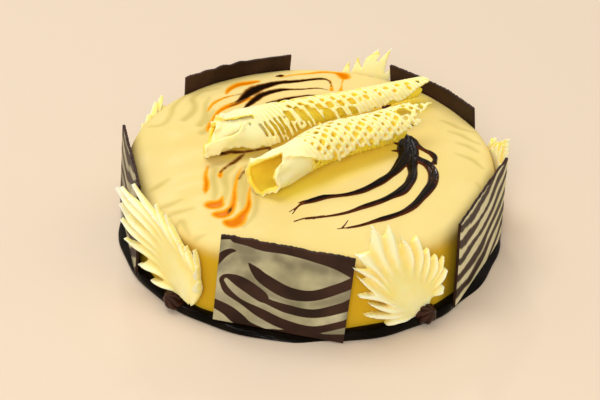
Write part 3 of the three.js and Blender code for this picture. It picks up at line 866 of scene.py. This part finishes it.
def cocoa_finish():
    material, shade, feed = new_finish(
        "cocoa_cream", {"Specular IOR Level": 0.2, "Subsurface Weight": 0.05, "Subsurface Scale": 0.001}
    )
    tint = shade.noise(160, 3).rise(0.3, 0.7)
    crease_shade = shade.stored("ridge").rise(0.0, 0.9)
    ridge = tint.between((0.024, 0.007, 0.003), (0.046, 0.014, 0.007))
    # Painted shade: darker down in the grooves between the ridges.
    feed("Base Color", crease_shade.between((0.012, 0.004, 0.003), ridge))
    feed("Roughness", 0.2 + 0.2 * tint)
    feed("Normal", shade.noise(500, 3).bump(0.15, 0.5))
    return material


def build_rosette(name, number, angle):
    """A piped bud: its radius swells and closes like a sine from root to point. Eight sharp ridges stand
    out of it, like a rectified cosine to a power, and twist as they rise."""
    ridges, sharpness = 8, 0.6
    lowest = 1.0  # above the floor
    v, around = np.linspace(0, 1, 60)[:, None], circle(128)[None, :]
    girth = np.sin(math.pi * (0.16 + 0.83 * v)) ** 0.8 * (1 - 0.2 * v)
    twisted = around + 1.5 * v + 0.4 * np.sin(5 * v) + number
    ridge = np.abs(np.cos(ridges / 2 * twisted)) ** sharpness
    radius = ROSETTE_RADIUS * girth * (0.68 + 0.33 * ridge)
    height = (v - 0.5) * ROSETTE_LENGTH + 0 * around
    rings = np.stack([radius * np.cos(around), radius * np.sin(around), height], -1)
    rings = rings @ turn(ROSETTE_TILT, "X").T + [0, -ROSETTE_DISTANCE, ROSETTE_HEIGHT]
    rings[..., 2] = np.maximum(rings[..., 2], lowest)
    bud = add_piece("rosette_" + name, *loft(rings @ turn(angle, "Z").T))
    paint(bud, "ridge", with_hubs(ridge, 0.5, 0.5))
    return bud


cocoa = cocoa_finish()
for number, (name, fan) in enumerate(FANS.items()):
    dress(build_rosette(name, number, fan["rosette"]), cocoa, "cocoa_cream", "rosette_" + name)

# ---- Rolls of white chocolate lattice ----
# White chocolate was piped in crossing lines on a sheet, left plain at one end, and rolled up before it
# had set. The rolls lie side by side on the glaze, with ruffled open mouths and ragged far ends.
ROLL_REST = CAKE_HEIGHT + 0.5
ROLL_START_TURN = 205  # where the sheet's outer edge lies, in degrees round the roll
MEAN_RADIUS = 11.5  # of both rolls, which turns shares across a sheet into millimetres
SHEET_THICKNESS = 1.7
RIM_THICKNESS = 4
ROLL_VOXEL = 0.59  # as fine as keeps a roll under 200,000 triangles
# A sheet sweeps some degrees round its roll and tightens by a share of the radius. radii and sag, how far
# its outer edge hangs out, are [along the roll, millimetres], and a bow pushes the roll's middle aside.
# mouth, edge and far outline the sheet: [share across the sheet, along the roll] for its two ends, and
# [along the roll, share across] for its outer edge. Holes are in rows: [share across at x = 50, its change
# per mm, half height, spacing, width, from, to], or between two ways of bars: [slope, spacing, share open].
ROLLS = {
    "lattice_roll_rear": dict(
        start=[-63, -1.5], end=[73, 70.5], lift=3.5, sweep=620, tightening=0.46, bow=0, seed=3,
        radii=[[-12, 12.3], [20, 13.2], [50, 12.3], [100, 9.6], [153, 7.8]],
        sag=[[10, 0], [24, 4], [36, 6], [50, 4.5], [80, 3], [100, 2], [120, 0]],
        mouth=[[0.0, -12], [0.031, -12], [0.056, -11], [0.065, -7], [0.071, 2], [0.074, 9], [0.082, 13.5],
               [0.108, 16], [0.12, 19], [0.122, 26], [0.147, 26], [0.154, 19], [0.167, 11], [0.178, 4],
               [0.202, 6], [0.229, 8], [0.268, 9], [0.327, 6], [0.405, 0], [0.49, -7], [0.555, -9],
               [0.588, -6], [0.64, -5], [0.7, -1], [0.76, 3], [0.8, -1], [0.86, 3], [0.92, 7], [1, 12]],
        edge=[[-20, 0.0], [38, 0.0], [55, 0.026], [70, 0.033], [100, 0.02], [170, 0.039]],
        far=[[0.0, 126], [0.039, 138], [0.085, 148], [0.131, 158], [0.196, 157], [0.327, 150],
               [0.653, 150], [1, 140]],
        rows=[[0.098, -0.0013, 3.3, 9.4, 6, 50, 100], [0.124, -0.0004, 2, 8, 4, 57, 104],
               [0.154, 0.0, 1.2, 8, 2.6, 53, 150], [0.111, 0.0, 1.7, 11, 2.4, 108, 150],
               [0.026, 0.0, 4.5, 3.6, 1.4, 40, 88], [0.065, 0.0, 3.8, 3.6, 1.3, 30, 47],
               [0.222, 0.0, 2.4, 8, 4.6, 50, 110], [0.281, 0.0, 2.4, 8, 4.6, 54, 110],
               [0.097, 0.0, 1.2, 8, 2.4, 22.5, 23]],
        bars=[],
    ),
    "lattice_roll_front": dict(
        start=[-30, -49.5], end=[57, 20], lift=0.5, sweep=470, tightening=0.22, bow=6, seed=8,
        radii=[[-12, 13.2], [20, 13.2], [50, 13.8], [65, 13.8], [80, 13.2], [111, 12.4]],
        sag=[[0, 0]],
        mouth=[[0, 3], [0.1, 6], [0.16, 9], [0.23, 15], [0.245, 16], [0.265, -1], [0.31, -5],
               [0.38, -1], [0.45, -3], [0.55, -3.5], [0.65, -1], [0.72, 2], [0.78, 4], [0.85, 3],
               [0.91, 5], [0.96, 14], [1, 16]],
        edge=[[-10, 0.2], [18, 0.18], [29, 0.125], [42, 0.05], [55, 0.02], [67, 0.045], [84, 0.04],
              [113, 0.07], [130, 0.1]],
        far=[[0, 104], [0.04, 108], [0.07, 115], [0.09, 119], [0.105, 121], [0.125, 116], [0.15, 121],
             [0.17, 127], [0.185, 133], [0.2, 131], [0.215, 124], [0.24, 121], [0.29, 116], [0.36, 110],
             [1, 108]],
        rows=[[0.205, 0, 2.8, 40, 11, 109, 129]], bars=[[-0.73, 5.75, 0.54], [1.57, 9.4, 0.54]],
    ),
}
PLAIN = [[0, 52], [0.05, 46], [0.15, 34], [0.25, 32], [1, 34]]  # [share across, where the bars start]
BOW_MIDDLE, BOW_REACH = 55, 32  # along the roll
# The piped lines show as low ridges that slant across the sheet.
HATCH_SLOPE = -0.55
HATCH_SPACING = 3.3
HATCH_HEIGHT = 0.35


def hatch_at(x, across):
    """1 on a piped line and -1 between two."""
    return np.cos(2 * math.pi * (x - HATCH_SLOPE * across) / HATCH_SPACING)


def cut_rows(x, v, around, ragged, rows, draw):
    """Where a sheet is cut by slanting holes in rows along it, whose sizes are drawn at random."""
    cut = np.zeros(x.shape, bool)
    for middle, drift, half, spacing, width, first, last in rows:
        number = np.round((x - first) / spacing)
        above = (v - middle - drift * (x - 50)) * around + 0.2 * ragged
        beside = x - first - number * spacing + 0.3 * ragged - HATCH_SLOPE * above
        size = draw.uniform(0.7, 1.1, 97)[number.astype(int) % 97]
        in_row = (x > first - spacing / 2) & (x < last)
        cut |= in_row & (np.abs(beside) < width / 2 * size) & (np.abs(above) < half * size)
    return cut


def cut_lattice(x, v, across, ragged, bars, draw):
    """Where a sheet is cut by the cells between two ways of bars, whose sizes are drawn at random."""
    lattice = smooth_step(x + 2 * ragged - profile(PLAIN, v), 0, 3)
    places = [(x - slope * across + 0.45 * ragged) / spacing for slope, spacing, _ in bars]
    cells = [np.floor(place).astype(int) for place in places]
    size = draw.uniform(0.45, 1.2, (97, 89))[cells[0] % 97, cells[1] % 89]
    cut = lattice > 0.05
    for place, cell, (_, _, share) in zip(places, cells, bars):
        cut &= np.abs(place - cell - 0.5) < share / 2 * size * lattice
    return cut


def build_roll(
    name, start, end, lift, radii, sweep, tightening, bow, sag, seed, mouth, edge, far, rows, bars
):
    """A sheet wound more than one turn: at the share v across it, it lies at an angle that falls evenly
    and at a radius that tightens. It is kept inside its mouth, edge and far outlines, apart from its
    holes. It thickens in lumps towards its rims, is ruffled towards its mouth, and has low slanting
    ridges. Its colour is painted shade: pale on its outer face and yellow inside, between the ridges and
    deep down."""
    draw = np.random.default_rng(seed)
    start, end = np.array(start, float), np.array(end, float)
    length = np.linalg.norm(end - start)
    around = math.radians(sweep) * MEAN_RADIUS * (1 - tightening / 2)
    heading = math.degrees(math.atan2(end[1] - start[1], end[0] - start[0]))
    matrix = turn(heading, "Z") @ turn(-math.degrees(math.asin(lift / length)), "Y")
    origin = [start[0], start[1], ROLL_REST]
    before, beyond = 14, 24  # how far the sheet may run past the roll's start and end
    v, x = np.meshgrid(np.linspace(0, 1, 241), np.linspace(-before, length + beyond, 405), indexing="ij")
    across = v * around

    ragged = 0.5 * unevenness(x, across, 5, seed) + 0.6 * unevenness(x, across, 11, seed + 1)
    from_mouth = x - profile(mouth, v) + 0.6 * ragged
    from_edge = (v - profile(edge, x)) * around + (0.6 + 0.8 * smooth_step(x, 30, 50)) * ragged
    from_far = profile(far, v) - x + 1.3 * ragged
    kept = (from_mouth > 0) & (from_edge > 0) & (from_far > 0)
    kept &= ~cut_rows(x, v, around, ragged, rows, draw)
    if bars:
        kept &= ~cut_lattice(x, v, across, ragged, bars, draw)

    rim = 1 - smooth_step(np.minimum(from_mouth, from_edge + 1.5), 0, 5)
    flare = 1 - smooth_step(x, 5, 34)
    lumps = 0.9 * rim * flare * unevenness(x, across, 5, seed + 2)
    ridges = HATCH_HEIGHT * smooth_step(x, 20, 40) * hatch_at(x, across) + lumps
    thickness = SHEET_THICKNESS + (RIM_THICKNESS - SHEET_THICKNESS) * rim
    waves = 1.2 * np.sin(11 * v + seed) + 0.9 * np.sin(31 * v + 0.16 * x + seed)
    waves = waves + 0.5 * np.sin(53 * v - 0.2 * x)
    sagging = profile(sag, x) * (1 - smooth_step(across, 1.5, 10))
    ruffle = 0.8 * flare * (waves + 0.5) + sagging
    radius = profile(radii, x)
    angle = np.radians(ROLL_START_TURN - sweep * v)

    def bowed(x):
        return bow * np.exp(-(((x - BOW_MIDDLE) / BOW_REACH) ** 2))

    def face(raised):
        wound = radius * (1 - tightening * v) - SHEET_THICKNESS / 2 + ruffle + raised
        local = np.stack([x, bowed(x) + wound * np.cos(angle), radius + wound * np.sin(angle)], -1)
        placed = local @ matrix.T + origin
        placed[..., 2] = np.maximum(placed[..., 2], CAKE_HEIGHT - 0.3)
        return placed

    sheet = slab(face(thickness / 2 + ridges), face(-thickness / 2), kept)
    roll = fused(name, [sheet], ROLL_VOXEL, 2)

    local = (mesh_points(roll) - origin) @ matrix
    x, radius = local[:, 0], profile(radii, local[:, 0])
    from_axis = np.column_stack([0 * x, local[:, 1] - bowed(x), local[:, 2] - radius])
    depth = np.linalg.norm(from_axis, axis=1) / radius
    normals = np.empty(3 * len(local), np.float32)
    roll.data.vertices.foreach_get("normal", normals)
    facing_out = (normals.reshape(-1, 3) @ matrix * unit(from_axis)).sum(1)
    deep_shade = smooth_step(x, 28, 42) * (1 - smooth_step(depth, 0.8, 0.94))
    turned_by = (ROLL_START_TURN - np.degrees(np.arctan2(from_axis[:, 2], from_axis[:, 1]))) % 360
    valley_shade = 0.2 * smooth_step(x, 20, 40) * (1 - hatch_at(x, turned_by / sweep * around))
    # Painted shade: yellow on the sheet's inner faces, deep inside the roll and between the piped lines.
    paint(roll, "ridge", smooth_step(facing_out, -0.5, 0.6) * (1 - deep_shade) * (1 - valley_shade))
    return roll


lattice = white_finish("white_chocolate_lattice", (0.98, 0.70, 0.06), (0.93, 0.83, 0.44))
for name, roll in ROLLS.items():
    dress(build_roll(name, **roll), lattice, "white_chocolate_lattice", name)

# ---- Chocolate sauce ----
# Thick dark sauce was dropped beside the rolls and drawn out over the glaze in four trails, which thin and
# fray into bristles where the blade left them. Each strand has a rise above the glaze and [x, y, width]
# points. The last three are drops that fell beside the rolls.
STRANDS = [
    [2.6, [[61, 27, 1.5], [61, 22, 6], [60, 11, 8], [59, -1, 8], [56, -11, 6.5], [51, -21, 5],
           [44, -30, 4.5], [33, -41, 4], [24, -46, 2.5], [17, -48, 2], [9, -50, 3], [2, -54, 3.5],
           [-4, -57, 2]]],
    [2.2, [[63, 20, 6], [65, 8, 7], [65, -2, 6], [64, -11, 6.5], [64, -21, 5.5], [61, -32, 6.5],
           [56, -41, 6], [50, -47, 5], [43, -53, 3.5], [32, -60, 3], [23, -66, 2], [16, -69, 1.5],
           [6, -72, 1.5], [-3, -74, 1]]],
    [2.2, [[64, 2, 4], [69, -4, 5], [74, -9, 5.5], [77, -18, 6], [76, -30, 6.5], [72, -40, 5.5],
           [68, -48, 5], [63, -57, 4.5], [56, -65, 4], [47, -71, 3.5], [39, -75, 2.5], [30, -80, 1.8],
           [22, -83, 1.2]]],
    [1.8, [[63, 24, 4], [66, 20, 4.5], [69, 13, 3.5], [73, 8, 3], [77, 4, 4], [79, -1, 3.5], [78, -8, 3]]],
    [1.2, [[60, 14, 4], [55, 16, 2.5], [53, 18, 1]]],
    [1.2, [[60, 7, 4], [54, 7, 2.5], [51, 7, 1]]],
    [1.2, [[47, 60, 1.5], [49, 64, 4.5], [52, 67, 3]]],
    [1.0, [[37, 50, 1], [40, 51, 2.5], [42, 52, 1]]],
    [1.2, [[62, 36, 1.5], [65, 39, 3], [68, 41, 2]]],
]
# Bristles at the ends of the trails, through [x, y] points.
BRISTLES = [
    [[0, -55], [-5, -56], [-9, -62], [-13, -67]], [[0, -56], [-6, -59], [-9, -64], [-11, -69]],
    [[2, -52], [-4, -54], [-8, -57]], [[6, -71], [-3, -73], [-10, -77]], [[9, -70], [5, -71], [2, -74]],
    [[28, -81], [20, -83], [16, -84]], [[19, -83], [21, -79], [23, -74]], [[64, 37], [65, 39], [67, 41]],
]
THICK_SAUCE = 1.6  # above the glaze, where the sauce is darkest
SAUCE_VOXEL = 0.4


def sauce_finish():
    material, shade, feed = new_finish(
        "chocolate_sauce", {"Specular IOR Level": 0.05, "Coat Roughness": 0.04, "Coat Weight": 0.12}
    )
    thick = (shade.stored("thickness") + 1.1 * (shade.noise(90, 3) - 0.5)).rise(0.2, 1.05)
    feed("Base Color", thick.between((0.10, 0.020, 0.004), (0.003, 0.0014, 0.0006)))
    feed("Roughness", 0.18 + 0.15 * shade.noise(120, 3))
    feed("Normal", shade.noise(220, 2).bump(0.4, 0.5))
    return material


def trail(rise, points, number):
    """A bar along a strand's route whose upper side is an arch with low lengthwise ridges that sway, and
    whose lower side is sunk in the glaze."""
    steps, upper, lower = 90, 21, 5
    sunk, depth = 0.6, 1.2  # of the bar's edges below the glaze, and of its underside below them
    route = smooth_curve(points, steps)
    ahead = unit(np.gradient(route[:, :2], axis=0))
    across = np.column_stack([-ahead[:, 1], ahead[:, 0]])
    half = np.maximum(1.25 * route[:, 2] - 0.3, 0.8) / 2
    half = half * (1 + 0.1 * unevenness(np.arange(steps) * 1.0, 0, 14, number))
    side = np.concatenate([np.linspace(1, -1, upper), np.linspace(-1, 1, lower + 2)[1:-1]])[None, :]
    is_upper = np.repeat([1, 0], [upper, lower])[None, :]
    arch = np.sqrt(np.clip(1 - side**2, 0, 1))
    sway = 1.2 * np.sin(np.arange(steps) / 17 + number)[:, None]
    ridge = 1 + 0.16 * np.cos(3 * math.pi * side + sway)
    lift = rise * np.minimum(1, 0.35 + half / 3)[:, None]
    height = CAKE_HEIGHT - sunk - (1 - is_upper) * depth + is_upper * (lift + 0.3) * arch * ridge
    x = route[:, 0, None] + half[:, None] * side * across[:, 0, None]
    y = route[:, 1, None] + half[:, None] * side * across[:, 1, None]
    return loft(np.stack([x, y, height], -1))


def bristle(points):
    """An elliptical bar along a route on the glaze that thins towards its end."""
    steps, sides = 24, 8
    half_depth = 0.5
    half_width = np.linspace(0.8, 0.4, steps)[:, None, None]
    route = np.column_stack([smooth_curve(points, steps), np.full(steps, CAKE_HEIGHT - 0.1)])
    ahead = unit(np.gradient(route, axis=0))
    across = unit(np.cross(ahead, [0.0, 0.0, 1.0]))
    upward = np.cross(across, ahead)[:, None]
    turned_by = circle(sides)[None, :, None]
    wide = half_width * across[:, None] * np.cos(turned_by)
    return loft(route[:, None] + wide + half_depth * upward * np.sin(turned_by))


def build_sauce():
    """Trails, drops and bristles grown into one skin, which is darker where it is thicker."""
    parts = [trail(rise, points, number) for number, (rise, points) in enumerate(STRANDS)]
    sauce = fused("sauce", parts + [bristle(points) for points in BRISTLES], SAUCE_VOXEL, 2)
    height = mesh_points(sauce)[:, 2] - CAKE_HEIGHT
    paint(sauce, "thickness", np.clip(height / THICK_SAUCE, 0, 1))
    return sauce


dress(build_sauce(), sauce_finish(), "chocolate_sauce")
